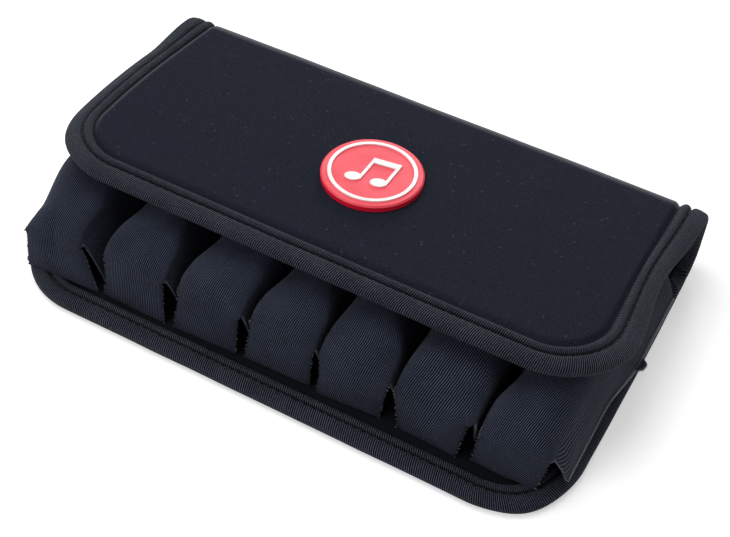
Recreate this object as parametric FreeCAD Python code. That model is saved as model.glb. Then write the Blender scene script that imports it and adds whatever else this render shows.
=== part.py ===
import FreeCAD, Part
import math
import os
from FreeCAD import Matrix, Vector

# Soft fold-over case for a row of harmonicas, shown closed.
# A padded shell runs from the flat base, up round the fold at the back, and forward as the lid.
# Elastic pockets stand on the base, open towards the fold, each with a tongue sewn down in front.
# The shell is cut at the middle of each bend of the fold, where the fabric flexes like a hinge.
# Frame: X along the row of pockets, front at -Y, fold at +Y, Z up, origin under the middle.

os.makedirs("parts", exist_ok=True)

# Whole case
case_width = 225.4
case_depth = 138.0
base_corner_radius = 31.0
lid_corner_radius = 30.0
lid_front_setback = 33.0
lid_tilt_deg = 6.0

# Layers of the shell
foam_thickness = 3.0
lining_thickness = 0.6
foam_edge_chamfer = 0.8

# Fold at the back
lower_bend_radius = 12.0
upper_bend_radius = 9.0
spine_height = 10.5
lower_bend_deg = 90.0

# Edge binding: a wide band, a stitched groove and a narrow bead, on both faces of the shell
tape_thickness = 1.0
edge_wrap_thickness = 1.2
edge_round_steps = 6
band_width = 6.3
groove_width = 0.7
groove_depth = 0.6
bead_width = 4.2
binding_slot_gap = 0.1
binding_seam_gap = 0.4

# Pockets
pocket_count = 7
pocket_row_margin = 8.6
pocket_row_shift = 1.6
pocket_valley_gap = 0.4
pocket_fabric = 1.2
pocket_front_setback = 11.9
pocket_rise_steps = 2
pocket_back_setback = 26.1
pocket_front_height = 25.0
pocket_front_lean = 2.7
pocket_front_round = 9.0
pocket_side_lean = 0.9
pocket_shoulder_radius = 6.5
pocket_crown_radius = 34.0
end_wall_flare = 4.4
end_shoulder_radius = 12.0
tongue_taper = 2.7
slit_height = 19.0
slit_depth = 3.6
slit_top_width = 0.8
pocket_over_binding_gap = 0.3

# Hook strips under the lid
hook_thickness = 1.5
hook_width = 16.0
hook_corner_radius = 3.0
hook_side_gap = 12.8
hook_middle_gap = 60.0
hook_front_gap = 4.0
hook_to_pocket_gap = 0.5

# Badge on the lid
badge_diameter = 38.0
badge_thickness = 2.5
badge_edge_chamfer = 0.6
badge_setback = 52.2
relief_height = 0.5
ring_outer_diameter = 33.0
ring_line_width = 1.4
note_head_length = 6.2
note_head_width = 4.4
note_head_tilt_deg = 22.0
note_spread = 9.6
note_rise = 1.6
note_stem_width = 1.2
note_stem_height = 13.0
note_beam_width = 2.8
note_drop = 5.4

# Cutting overrun
overrun = 4.0

# Values worked out from the sizes above
half_width = case_width / 2
y_front = -case_depth / 2
y_back = case_depth / 2
stack_thickness = foam_thickness + lining_thickness
binding_thickness = stack_thickness + tape_thickness
flange_depth = band_width + groove_width + bead_width
foam_inset = edge_wrap_thickness + binding_slot_gap
raised_inset = flange_depth + binding_seam_gap

lid_tilt = math.radians(lid_tilt_deg)
upper_bend_deg = 90.0 - lid_tilt_deg
lower_centre_y = y_back - lower_bend_radius
upper_centre_y = y_back - upper_bend_radius
upper_centre_z = lower_bend_radius + spine_height
lid_start_y = upper_centre_y + upper_bend_radius * math.sin(lid_tilt)
lid_start_z = upper_centre_z + upper_bend_radius * math.cos(lid_tilt)
base_length = lower_centre_y - y_front
lid_length = (lid_start_y - y_front - lid_front_setback) / math.cos(lid_tilt)


# Local plate frame: x across, s along the plate from its bend to its front edge,
# w from the outer face inwards. The next three matrices take it into the case frame.
def frame_matrix(x_axis, s_axis, w_axis, origin):
    """Matrix with the given images of the local axes and of the local origin."""
    return Matrix(
        x_axis.x, s_axis.x, w_axis.x, origin.x,
        x_axis.y, s_axis.y, w_axis.y, origin.y,
        x_axis.z, s_axis.z, w_axis.z, origin.z,
        0, 0, 0, 1,
    )


base_frame = frame_matrix(
    Vector(-1, 0, 0), Vector(0, -1, 0), Vector(0, 0, 1), Vector(0, lower_centre_y, 0)
)
spine_frame = frame_matrix(
    Vector(1, 0, 0), Vector(0, 0, 1), Vector(0, -1, 0), Vector(0, y_back, lower_bend_radius)
)
lid_frame = frame_matrix(
    Vector(1, 0, 0),
    Vector(0, -math.cos(lid_tilt), math.sin(lid_tilt)),
    Vector(0, -math.sin(lid_tilt), -math.cos(lid_tilt)),
    Vector(0, lid_start_y, lid_start_z),
)


def placed(shape, frame):
    """Copy of a local shape moved into the case frame."""
    result = shape.copy()
    result.transformShape(frame)
    return result


def save(name, shape):
    """Write one sub-part."""
    shape.exportStep("parts/" + name + ".step")
    print(name, "solids", len(shape.Solids), "volume", round(shape.Volume, 1), "valid", shape.isValid())


def joined(shapes):
    """One solid out of pieces that share faces."""
    result = shapes[0]
    for shape in shapes[1:]:
        result = result.fuse(shape)
    return result.removeSplitter()


def line(start, end):
    return Part.LineSegment(start, end).toShape()


def arc(start, middle, end):
    return Part.Arc(start, middle, end).toShape()


# Outlines and sections of the shell
def plate_outline(length, corner_radius, inset, w):
    """Face with two rounded front corners, inset from the plate's outline, at depth w."""
    x = half_width - inset
    s = length - inset
    r = corner_radius - inset
    d = r * (1 - math.sqrt(0.5))
    edges = [
        line(Vector(-x, 0, w), Vector(x, 0, w)),
        line(Vector(x, 0, w), Vector(x, s - r, w)),
        arc(Vector(x, s - r, w), Vector(x - d, s - d, w), Vector(x - r, s, w)),
        line(Vector(x - r, s, w), Vector(r - x, s, w)),
        arc(Vector(r - x, s, w), Vector(d - x, s - d, w), Vector(-x, s - r, w)),
        line(Vector(-x, s - r, w), Vector(-x, 0, w)),
    ]
    return Part.Face(Part.Wire(edges))


def foam_section(s):
    """Cross-section of the foam: full thickness inside the binding, thinner under it."""
    x_edge = half_width - foam_inset
    x_full = half_width - raised_inset
    c = foam_edge_chamfer
    corners = [
        Vector(-x_edge, s, tape_thickness),
        Vector(-x_edge, s, foam_thickness),
        Vector(x_edge, s, foam_thickness),
        Vector(x_edge, s, tape_thickness),
        Vector(x_full, s, tape_thickness),
        Vector(x_full, s, c),
        Vector(x_full - c, s, 0),
        Vector(c - x_full, s, 0),
        Vector(-x_full, s, c),
        Vector(-x_full, s, tape_thickness),
        Vector(-x_edge, s, tape_thickness),
    ]
    return Part.Face(Part.makePolygon(corners))


def lining_section(s):
    """Cross-section of the lining: a thin strip on the foam's inner face."""
    x = half_width - foam_inset
    corners = [
        Vector(-x, s, foam_thickness),
        Vector(x, s, foam_thickness),
        Vector(x, s, stack_thickness),
        Vector(-x, s, stack_thickness),
        Vector(-x, s, foam_thickness),
    ]
    return Part.Face(Part.makePolygon(corners))


def binding_section(s, side):
    """Cross-section of the tape round one side edge, a C that holds foam and lining."""

    def at(u, w):
        return Vector(side * (half_width - u), s, w)

    t = binding_thickness
    edge_r = t / 2
    inner_groove = t - groove_depth
    bead_start = band_width + groove_width
    bead_low = bead_start + groove_depth
    bead_high = flange_depth - tape_thickness
    corners = [
        at(edge_wrap_thickness, tape_thickness),
        at(flange_depth, tape_thickness),
        at(bead_high, 0),
        at(bead_low, 0),
        at(bead_start, groove_depth),
        at(band_width, groove_depth),
        at(band_width, 0),
    ]
    for i in range(edge_round_steps + 1):
        turn = math.pi * i / edge_round_steps
        corners.append(at(edge_r - edge_r * math.sin(turn), edge_r - edge_r * math.cos(turn)))
    corners += [
        at(band_width, t),
        at(band_width, inner_groove),
        at(bead_start, inner_groove),
        at(bead_low, t),
        at(bead_high, t),
        at(flange_depth, stack_thickness),
        at(edge_wrap_thickness, stack_thickness),
        at(edge_wrap_thickness, tape_thickness),
    ]
    return Part.Face(Part.makePolygon(corners))


def bent_back(section, radius, angle_deg):
    """Half bend behind s = 0: the section swung round the bend's axis."""
    return section.revolve(Vector(0, 0, radius), Vector(1, 0, 0), -angle_deg)


def bent_up(section, s, radius, angle_deg):
    """Half bend past s: the section swung round the axis of the bend at the far end."""
    return section.revolve(Vector(0, s, radius), Vector(1, 0, 0), angle_deg)


# Base and lid: the same kind of plate, with half a bend at the fold
def foam_plate(length, corner_radius, bend_radius, half_turn):
    """Foam panel with its thinner rim, plus its half of the bend."""
    rim = plate_outline(length, corner_radius, foam_inset, tape_thickness)
    rim = rim.extrude(Vector(0, 0, foam_thickness - tape_thickness))
    raised = plate_outline(length, corner_radius, raised_inset, 0)
    raised = raised.extrude(Vector(0, 0, tape_thickness))
    trimmed = []
    for edge in raised.Edges:
        ends = edge.Vertexes
        on_face = max(abs(v.Z) for v in ends) < foam_edge_chamfer / 2
        at_bend = max(abs(v.Y) for v in ends) < foam_edge_chamfer / 2
        if on_face and not at_bend:
            trimmed.append(edge)
    raised = raised.makeChamfer(foam_edge_chamfer, trimmed)
    return joined([rim, raised, bent_back(foam_section(0), bend_radius, half_turn)])


def lining_plate(length, corner_radius, bend_radius, half_turn):
    """Lining of a plate, with its half of the bend."""
    flat = plate_outline(length, corner_radius, foam_inset, foam_thickness)
    flat = flat.extrude(Vector(0, 0, lining_thickness))
    return joined([flat, bent_back(lining_section(0), bend_radius, half_turn)])


def binding_plate(length, corner_radius, bend_radius, half_turn):
    """Binding of a plate: both sides, both corners, the front and two half bends."""
    s_corner = length - corner_radius
    x_corner = half_width - corner_radius
    pieces = []
    for side in (-1, 1):
        pieces.append(bent_back(binding_section(0, side), bend_radius, half_turn))
        pieces.append(binding_section(0, side).extrude(Vector(0, s_corner, 0)))
        corner = binding_section(s_corner, side)
        centre = Vector(side * x_corner, s_corner, 0)
        pieces.append(corner.revolve(centre, Vector(0, 0, 1), side * 90.0))
    front = binding_section(s_corner, 1)
    front.rotate(Vector(x_corner, s_corner, 0), Vector(0, 0, 1), 90.0)
    pieces.append(front.extrude(Vector(-2 * x_corner, 0, 0)))
    return joined(pieces)


# Spine: the straight back wall of the fold, with half a bend at each end
def spine_strip(section_at):
    """Solid of one cross-section carried along the whole spine."""
    return joined([
        bent_back(section_at(0), lower_bend_radius, lower_bend_deg / 2),
        section_at(0).extrude(Vector(0, spine_height, 0)),
        bent_up(section_at(spine_height), spine_height, upper_bend_radius, upper_bend_deg / 2),
    ])


# Underside of the lid, and the line that the tops of the pockets follow below it
def lid_underside_z(y):
    """Height of the lid's lining above the base at y."""
    s = (lid_start_y - y) / math.cos(lid_tilt)
    outer_z = lid_start_z + s * math.sin(lid_tilt)
    return outer_z - stack_thickness / math.cos(lid_tilt)


hook_x_high = half_width - flange_depth - hook_side_gap
hook_x_low = hook_middle_gap / 2
hook_front_s = lid_length - flange_depth - hook_front_gap
hook_back_s = hook_front_s - hook_width
hook_back_y = lid_start_y - hook_back_s * math.cos(lid_tilt)
pocket_pitch = (case_width - 2 * pocket_row_margin) / pocket_count
pocket_front_y = y_front + pocket_front_setback
pocket_back_y = y_back - pocket_back_setback
pocket_top_clearance = hook_thickness + hook_to_pocket_gap
pocket_face_y = pocket_front_y + pocket_front_lean
pocket_level_y = pocket_face_y + pocket_front_round
front_drop = lid_underside_z(pocket_level_y) - stack_thickness - pocket_front_height


def crest_z(y):
    """Height of a pocket's top: level in front, then rising to run parallel to the lid."""
    y = max(y, pocket_level_y)
    share = max(0.0, (hook_back_y - y) / (hook_back_y - pocket_level_y))
    drop = pocket_top_clearance + (front_drop - pocket_top_clearance) * share ** 2
    return lid_underside_z(y) - drop


column_height = crest_z(hook_back_y) - stack_thickness


def pocket_section(y, x_centre, flares, offset):
    """Arched cross-section: side lines, two shoulder arcs and a crown arc, drawn in by offset."""
    crown_r = pocket_crown_radius - offset
    z_crest = crest_z(y) - offset
    z_crown = z_crest - crown_r
    z_foot = crest_z(y) - column_height - offset
    foot_x = (pocket_pitch - pocket_valley_gap) / 2 - offset
    side_x = foot_x - pocket_side_lean
    ends = []
    for side, flare in zip((-1, 1), flares):
        shoulder_r = (end_shoulder_radius if flare else pocket_shoulder_radius) - offset
        reach = crown_r - shoulder_r
        x_shoulder = side_x - shoulder_r
        z_shoulder = z_crown + math.sqrt(reach ** 2 - x_shoulder ** 2)
        turn = math.atan2(x_shoulder, z_shoulder - z_crown)
        middle = (math.pi / 2 + turn) / 2
        ends.append({
            "foot": Vector(x_centre + side * (foot_x + flare), y, z_foot),
            "side": Vector(x_centre + side * side_x, y, z_shoulder),
            "mid": Vector(
                x_centre + side * (x_shoulder + shoulder_r * math.sin(middle)),
                y,
                z_shoulder + shoulder_r * math.cos(middle),
            ),
            "crown": Vector(
                x_centre + side * crown_r * math.sin(turn), y, z_crown + crown_r * math.cos(turn)
            ),
        })
    left, right = ends
    edges = [
        line(left["foot"], right["foot"]),
        line(right["foot"], right["side"]),
        arc(right["side"], right["mid"], right["crown"]),
        arc(right["crown"], Vector(x_centre, y, z_crest), left["crown"]),
        arc(left["crown"], left["mid"], left["side"]),
        line(left["side"], left["foot"]),
    ]
    return Part.Face(Part.Wire(edges))


def pocket_form(x_centre, flares, offset):
    """Solid tunnel form, trimmed in front to the rounded, leaning face of the tongue."""
    z_foot = stack_thickness if offset == 0 else stack_thickness - overrun
    y_end = pocket_back_y if offset == 0 else pocket_back_y + overrun
    y_start = pocket_front_y - overrun
    step = (hook_back_y - pocket_level_y) / pocket_rise_steps
    rise_stations = [pocket_level_y + step * i for i in range(pocket_rise_steps + 1)]
    stations = [y_start] + rise_stations + [y_end]
    spans = []
    for y, y_next in zip(stations, stations[1:]):
        rise = Vector(0, y_next - y, crest_z(y_next) - crest_z(y))
        spans.append(pocket_section(y, x_centre, flares, offset).extrude(rise))
    tunnel = joined(spans)
    r = pocket_front_round - offset
    y_face = pocket_face_y + offset
    z_round = crest_z(pocket_level_y) - offset
    z_high = z_round + pocket_front_height
    d = r * (1 - math.sqrt(0.5))
    x_low = x_centre - pocket_pitch
    points = [
        Vector(x_low, pocket_front_y + offset, z_foot),
        Vector(x_low, y_face, z_round - r),
        Vector(x_low, y_face + r, z_round),
        Vector(x_low, y_face + r + pocket_front_height, z_high),
        Vector(x_low, y_end, z_high),
        Vector(x_low, y_end, z_foot),
    ]
    edges = [
        line(points[0], points[1]),
        arc(points[1], Vector(x_low, y_face + d, z_round - d), points[2]),
        line(points[2], points[3]),
        line(points[3], points[4]),
        line(points[4], points[5]),
        line(points[5], points[0]),
    ]
    front = Part.Face(Part.Wire(edges)).extrude(Vector(2 * pocket_pitch, 0, 0))
    return tunnel.common(front)


def corner_slits(x_centre):
    """Two wedges that free the tongue from the side walls at its lower corners."""
    side_x = (pocket_pitch - pocket_valley_gap) / 2 - pocket_side_lean
    z_low = stack_thickness - overrun
    z_high = stack_thickness + slit_height
    y_low = pocket_front_y - overrun
    depth = overrun + pocket_front_lean + slit_depth
    wedges = []
    for side in (-1, 1):
        corners = [
            Vector(x_centre + side * (side_x - tongue_taper), y_low, z_low),
            Vector(x_centre + side * (side_x - slit_top_width), y_low, z_high),
            Vector(x_centre + side * pocket_pitch, y_low, z_high),
            Vector(x_centre + side * pocket_pitch, y_low, z_low),
            Vector(x_centre + side * (side_x - tongue_taper), y_low, z_low),
        ]
        wedges.append(Part.Face(Part.makePolygon(corners)).extrude(Vector(0, depth, 0)))
    return wedges


def binding_clearance():
    """Space over the base binding that the end pockets leave free."""
    top = binding_thickness + pocket_over_binding_gap
    whole = plate_outline(base_length, base_corner_radius, -overrun, -overrun)
    inner_inset = flange_depth + pocket_over_binding_gap
    inner = plate_outline(base_length, base_corner_radius, inner_inset, -overrun)
    ring = whole.extrude(Vector(0, 0, top + overrun)).cut(inner.extrude(Vector(0, 0, top + overrun)))
    return placed(ring, base_frame)


def pocket(index, clearance):
    """One pocket: arched tunnel, closed in front by its tongue, open at the back and below."""
    x_centre = pocket_row_shift + (index - (pocket_count - 1) / 2) * pocket_pitch
    left_flare = end_wall_flare if index == 0 else 0
    right_flare = end_wall_flare if index == pocket_count - 1 else 0
    flares = (left_flare, right_flare)
    shell = pocket_form(x_centre, flares, 0).cut(pocket_form(x_centre, flares, pocket_fabric))
    shell = shell.cut(corner_slits(x_centre))
    shell = shell.cut(clearance)
    return shell


def rounded_block(x_low, x_high, s_low, s_high, w_low, w_high):
    """Hook strip with rounded corners, in the lid's frame."""
    r = hook_corner_radius
    d = r * (1 - math.sqrt(0.5))
    edges = [
        line(Vector(x_low + r, s_low, w_low), Vector(x_high - r, s_low, w_low)),
        arc(
            Vector(x_high - r, s_low, w_low),
            Vector(x_high - d, s_low + d, w_low),
            Vector(x_high, s_low + r, w_low),
        ),
        line(Vector(x_high, s_low + r, w_low), Vector(x_high, s_high - r, w_low)),
        arc(
            Vector(x_high, s_high - r, w_low),
            Vector(x_high - d, s_high - d, w_low),
            Vector(x_high - r, s_high, w_low),
        ),
        line(Vector(x_high - r, s_high, w_low), Vector(x_low + r, s_high, w_low)),
        arc(
            Vector(x_low + r, s_high, w_low),
            Vector(x_low + d, s_high - d, w_low),
            Vector(x_low, s_high - r, w_low),
        ),
        line(Vector(x_low, s_high - r, w_low), Vector(x_low, s_low + r, w_low)),
        arc(
            Vector(x_low, s_low + r, w_low),
            Vector(x_low + d, s_low + d, w_low),
            Vector(x_low + r, s_low, w_low),
        ),
    ]
    return Part.Face(Part.Wire(edges)).extrude(Vector(0, 0, w_high - w_low))


# Badge: a moulded disc, with a ring and a pair of joined notes raised on it
badge_s = lid_length - badge_setback
outward = Vector(0, 0, -1)


def badge_disc():
    disc = Part.makeCylinder(badge_diameter / 2, badge_thickness, Vector(0, badge_s, 0), outward)
    top_edges = [e for e in disc.Edges if max(v.Z for v in e.Vertexes) < -badge_thickness / 2]
    return disc.makeChamfer(badge_edge_chamfer, [e for e in top_edges if e.Closed])


def badge_ring():
    base = Vector(0, badge_s, -badge_thickness)
    ring = Part.makeCylinder(ring_outer_diameter / 2, relief_height, base, outward)
    return ring.cut(
        Part.makeCylinder(ring_outer_diameter / 2 - ring_line_width, relief_height, base, outward)
    )


def badge_note():
    """Two note heads, two stems and a slanting beam. Up on the badge is towards the fold."""
    w = -badge_thickness
    lift = Vector(0, 0, -relief_height)

    def at(x, up):
        return Vector(x, badge_s - up, w)

    tops = []
    pieces = []
    for side in (-1, 1):
        x = side * note_spread / 2
        up = side * note_rise / 2 - note_drop
        head = Part.Ellipse(at(0, 0), note_head_length / 2, note_head_width / 2).toShape()
        head.rotate(at(0, 0), Vector(0, 0, 1), -note_head_tilt_deg)
        head.translate(Vector(x, -up, 0))
        pieces.append(Part.Face(Part.Wire(head)).extrude(lift))
        right = x + note_head_length / 2
        left = right - note_stem_width
        top = up + note_stem_height
        corners = [at(left, up), at(right, up), at(right, top), at(left, top), at(left, up)]
        pieces.append(Part.Face(Part.makePolygon(corners)).extrude(lift))
        tops.append((left, right, top))
    x_low = tops[0][0]
    x_high = tops[1][1]
    up_low = tops[0][2]
    up_high = tops[1][2]
    corners = [
        at(x_low, up_low - note_beam_width),
        at(x_high, up_high - note_beam_width),
        at(x_high, up_high),
        at(x_low, up_low),
        at(x_low, up_low - note_beam_width),
    ]
    pieces.append(Part.Face(Part.makePolygon(corners)).extrude(lift))
    return joined(pieces)


# Base, with the pockets that stand on it
base_sizes = (base_length, base_corner_radius, lower_bend_radius, lower_bend_deg / 2)
save("base_panel", placed(foam_plate(*base_sizes), base_frame))
save("base_lining", placed(lining_plate(*base_sizes), base_frame))
save("base_binding", placed(binding_plate(*base_sizes), base_frame))
clearance = binding_clearance()
for index in range(pocket_count):
    save("pocket_" + str(index + 1), pocket(index, clearance))

# Spine
save("spine_panel", placed(spine_strip(foam_section), spine_frame))
save("spine_lining", placed(spine_strip(lining_section), spine_frame))
for name, side in (("spine_binding_left", -1), ("spine_binding_right", 1)):
    strip = spine_strip(lambda s: binding_section(s, side))
    save(name, placed(strip, spine_frame))

# Lid, with its hook strips and badge
lid_sizes = (lid_length, lid_corner_radius, upper_bend_radius, upper_bend_deg / 2)
save("lid_panel", placed(foam_plate(*lid_sizes), lid_frame))
save("lid_lining", placed(lining_plate(*lid_sizes), lid_frame))
save("lid_binding", placed(binding_plate(*lid_sizes), lid_frame))
hook_top = stack_thickness + hook_thickness
for name, x_low, x_high in (
    ("hook_strip_left", -hook_x_high, -hook_x_low),
    ("hook_strip_right", hook_x_low, hook_x_high),
):
    strip = rounded_block(x_low, x_high, hook_back_s, hook_front_s, stack_thickness, hook_top)
    save(name, placed(strip, lid_frame))
save("badge_disc", placed(badge_disc(), lid_frame))
save("badge_ring", placed(badge_ring(), lid_frame))
save("badge_note", placed(badge_note(), lid_frame))
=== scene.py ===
# %% [markdown]
# A soft fold-over case with seven elastic pockets, lying closed on a white table.
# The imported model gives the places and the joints. Everything on this case is cloth, foam or
# rubber, so most of its solids are replaced here by cloth meshes that fill the same space.
# All lengths are metres: X along the pockets, the front at -Y, the fold at +Y, Z up.

# %% Load the frame
import math
import random

import bmesh
import bpy
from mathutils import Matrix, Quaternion, Vector, noise


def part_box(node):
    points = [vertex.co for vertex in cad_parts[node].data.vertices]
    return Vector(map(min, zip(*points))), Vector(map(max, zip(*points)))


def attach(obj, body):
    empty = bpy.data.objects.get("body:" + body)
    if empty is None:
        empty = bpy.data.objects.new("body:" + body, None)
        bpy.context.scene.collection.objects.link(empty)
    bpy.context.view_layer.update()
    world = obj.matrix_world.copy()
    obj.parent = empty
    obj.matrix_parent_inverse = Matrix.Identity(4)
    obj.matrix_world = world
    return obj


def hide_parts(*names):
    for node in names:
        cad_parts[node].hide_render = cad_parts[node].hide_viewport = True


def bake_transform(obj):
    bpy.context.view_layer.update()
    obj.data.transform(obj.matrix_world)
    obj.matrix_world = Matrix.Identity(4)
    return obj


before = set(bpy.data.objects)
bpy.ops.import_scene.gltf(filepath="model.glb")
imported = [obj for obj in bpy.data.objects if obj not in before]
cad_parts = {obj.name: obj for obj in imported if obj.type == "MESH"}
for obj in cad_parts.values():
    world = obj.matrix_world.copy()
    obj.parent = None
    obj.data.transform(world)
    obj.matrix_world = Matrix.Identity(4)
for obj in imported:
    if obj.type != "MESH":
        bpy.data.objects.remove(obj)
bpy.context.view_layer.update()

MM = 0.001
random.seed(7)

# %% [markdown]
# The camera comes first, because every later choice is judged through it. It stands to the front
# right, looks steeply down, and uses a long lens, which keeps the far edge nearly as wide as the
# near one. Azimuth turns round Z from the front, elevation lifts from the table.

# %% Camera
CAMERA_AZIMUTH = math.radians(28.17)
CAMERA_ELEVATION = math.radians(50.09)
CAMERA_DISTANCE = 501.7 * MM
CAMERA_TARGET = Vector((4.45, 3.30, 0.0)) * MM
CAMERA_ROLL = math.radians(1.03)
CAMERA_REACH = (10 * MM, 20.0)
SENSOR_WIDTH_MM = 36.0
FOCAL_PIXELS = 1326.5
PICTURE_WIDTH = 730


def add_object(name, data):
    """New object in the scene, at the origin."""
    made = bpy.data.objects.new(name, data)
    bpy.context.scene.collection.objects.link(made)
    return made


def make_camera():
    """Camera on a sphere round the target, with a small roll."""
    data = bpy.data.cameras.new("camera")
    data.sensor_width = SENSOR_WIDTH_MM
    data.lens = SENSOR_WIDTH_MM * FOCAL_PIXELS / PICTURE_WIDTH
    data.clip_start, data.clip_end = CAMERA_REACH
    camera = add_object("camera", data)
    back = Vector((
        math.sin(CAMERA_AZIMUTH) * math.cos(CAMERA_ELEVATION),
        -math.cos(CAMERA_AZIMUTH) * math.cos(CAMERA_ELEVATION),
        math.sin(CAMERA_ELEVATION),
    ))
    camera.location = CAMERA_TARGET + back * CAMERA_DISTANCE
    camera.rotation_mode = "QUATERNION"
    aim = (-back).to_track_quat("-Z", "Y")
    camera.rotation_quaternion = Quaternion(back, CAMERA_ROLL) @ aim
    bpy.context.scene.camera = camera
    print("lens", round(data.lens, 1), "mm")


make_camera()

# %% [markdown]
# Cloth is easiest to draw flat. The shell is one sheet, so it gets flat pattern coordinates:
# x across, u along its outer face from the base's front edge round the fold to the lid's front
# edge, and w inwards. The fold is a quarter turn, a short back wall, and a second turn that stops
# short of a quarter because the lid slopes down towards the front. Each of these parts starts at
# its own u.

# %% Flat pattern
HALF_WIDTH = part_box("base_binding")[1].x
FRONT_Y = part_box("base_binding")[0].y
BACK_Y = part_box("spine_panel")[1].y
SHELL = 4.6 * MM
LOWER_BEND = 12.0 * MM
UPPER_BEND = 9.0 * MM
SPINE = 10.5 * MM
LID_TILT = math.radians(6.0)
LID_SETBACK = 33.0 * MM

LOWER_Y = BACK_Y - LOWER_BEND
UPPER_Y = BACK_Y - UPPER_BEND
UPPER_Z = LOWER_BEND + SPINE
UPPER_TURN = math.pi / 2 - LID_TILT
LID_START = Vector((
    0, UPPER_Y + UPPER_BEND * math.sin(LID_TILT), UPPER_Z + UPPER_BEND * math.cos(LID_TILT)
))
LID_ALONG = Vector((0, -math.cos(LID_TILT), math.sin(LID_TILT)))
LID_INWARD = Vector((0, -math.sin(LID_TILT), -math.cos(LID_TILT)))

U_BASE = LOWER_Y - FRONT_Y
U_SPINE = U_BASE + LOWER_BEND * math.pi / 2
U_UPPER = U_SPINE + SPINE
U_LID = U_UPPER + UPPER_BEND * UPPER_TURN
U_END = U_LID + (LID_START.y - FRONT_Y - LID_SETBACK) / math.cos(LID_TILT)
U_MIDDLE = (U_SPINE + U_UPPER) / 2
print("pattern", round(2 * HALF_WIDTH, 4), "x", round(U_END, 4))

# %% [markdown]
# A used soft case is never quite true. Its lid waves a little, the lid's sides hang down past the
# pockets and gape at the fold, the base's right front corner is pushed forward, and creases stand
# inside the fold on the right. Each of these is a small shift that fades out with distance, so
# they can be worked out one by one and added up.

# %% Slack, droop, push and creases
SLACK_WAVES = ((14.0, 3.1, 0.45 * MM), (42.0, 8.7, 0.12 * MM))


def smooth(t):
    """0 to 1 with level ends."""
    t = min(1.0, max(0.0, t))
    return t * t * (3 - 2 * t)


def slack(x, u):
    """How far the soft sheet stands out from its true line: nothing on the base."""
    total = 0.0
    for per_metre, level, height in SLACK_WAVES:
        total += noise.noise(Vector((x * per_metre, u * per_metre, level))) * height
    return total * smooth((u - U_SPINE) / (U_LID - U_SPINE))


DROOP_REACH = 15.0 * MM
DROOP_LEFT = 4.2 * MM
DROOP_RIGHT = 2.2 * MM
DROOP_GROWTH = 4
SPREAD_LEFT = 3.6 * MM
SPREAD_RIGHT = -0.7 * MM
GAPE = 3.4 * MM
GAPE_SHARE = 0.75


def rim_droop(x, u):
    """The lid's sides hang down past the pockets and are a little out of square: (dx, dz)."""
    share = (u - U_LID) / (U_END - U_LID)
    if share <= 0:
        return 0.0, 0.0
    near_rim = max(0.0, 1 - (HALF_WIDTH - abs(x)) / DROOP_REACH)
    deepest, spread = (DROOP_LEFT, SPREAD_LEFT) if x < 0 else (DROOP_RIGHT, SPREAD_RIGHT)
    droop = deepest * near_rim ** 2 * smooth(share * DROOP_GROWTH)
    bow = math.sin(math.pi * min(1.0, share)) * (x / HALF_WIDTH) ** 2
    gape = 0.0
    if x > 0:
        gape = math.sin(math.pi * min(1.0, share / GAPE_SHARE)) ** 2 * near_rim
    return math.copysign(spread, x) * bow - GAPE * gape, GAPE / 2 * gape - droop


PUSH = 2.0 * MM
PUSH_AT = (102.0 * MM, 10.0 * MM)
PUSH_REACH = 13.0 * MM
PUSH_SIDEWAYS = 0.4
DRAW = 1.5 * MM
DRAW_FROM = 60.0 * MM
DRAW_RUN = 40.0 * MM
DRAW_REACH = 45.0 * MM


def corner_push(x, u):
    """The base's right front corner is drawn in sideways and stands a little forward: (dx, dy)."""
    far = (x - PUSH_AT[0]) ** 2 + (u - PUSH_AT[1]) ** 2
    push = PUSH * math.exp(-far / PUSH_REACH ** 2)
    draw = DRAW * smooth((x - DRAW_FROM) / DRAW_RUN) * math.exp(-(u / DRAW_REACH) ** 2)
    return PUSH_SIDEWAYS * push - draw, -push


RIDGE = 2.6 * MM
RIDGE_PITCH = 10.0 * MM
RIDGE_SLANT = 0.5
RIDGE_INSET = 16.0 * MM
RIDGE_FADE = 9.6 * MM
RIDGE_RUN = (113.0 * MM, 134.0 * MM)


def ridge(x, u):
    """Creases pressed into the inner face beside the fold, at the right side only."""
    t = (u - RIDGE_RUN[0]) / (RIDGE_RUN[1] - RIDGE_RUN[0])
    if not 0 < t < 1 or x < HALF_WIDTH - RIDGE_INSET:
        return 0.0
    side = smooth((x - HALF_WIDTH + RIDGE_INSET) / RIDGE_FADE)
    wave = math.sin(2 * math.pi * (u + RIDGE_SLANT * x) / RIDGE_PITCH)
    return RIDGE * side * math.sin(math.pi * t) ** 0.5 * max(0.0, wave) ** 1.5


print("droop", round(rim_droop(-HALF_WIDTH, U_END)[1] / MM, 2), "mm at the front left")

# %% [markdown]
# One function folds any pattern point into place. The panel, the lining, the tape and the
# stitches all use it, so they stay together round the fold whatever shape the sheet takes.

# %% Fold
def fold(x, u, w):
    """Folds a pattern point: x across, u along the outer face, w inwards."""
    w = w - slack(x, u)
    if u <= U_BASE:
        dx, dy = corner_push(x, u)
        return Vector((x + dx, FRONT_Y + u + dy, max(w, 0.0) + ridge(x, u) * w / SHELL))
    if u <= U_SPINE:
        turn = (u - U_BASE) / LOWER_BEND
        r = LOWER_BEND - w
        z = max(LOWER_BEND - r * math.cos(turn), 0.0)
        return Vector((x, LOWER_Y + r * math.sin(turn), z))
    if u <= U_UPPER:
        return Vector((x, BACK_Y - w, LOWER_BEND + u - U_SPINE))
    if u <= U_LID:
        turn = (u - U_UPPER) / UPPER_BEND
        r = UPPER_BEND - w
        return Vector((x, UPPER_Y + r * math.cos(turn), UPPER_Z + r * math.sin(turn)))
    point = LID_START + LID_ALONG * (u - U_LID) + LID_INWARD * w
    dx, dz = rim_droop(x, u)
    return Vector((x + dx, point.y, point.z + dz))


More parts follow.
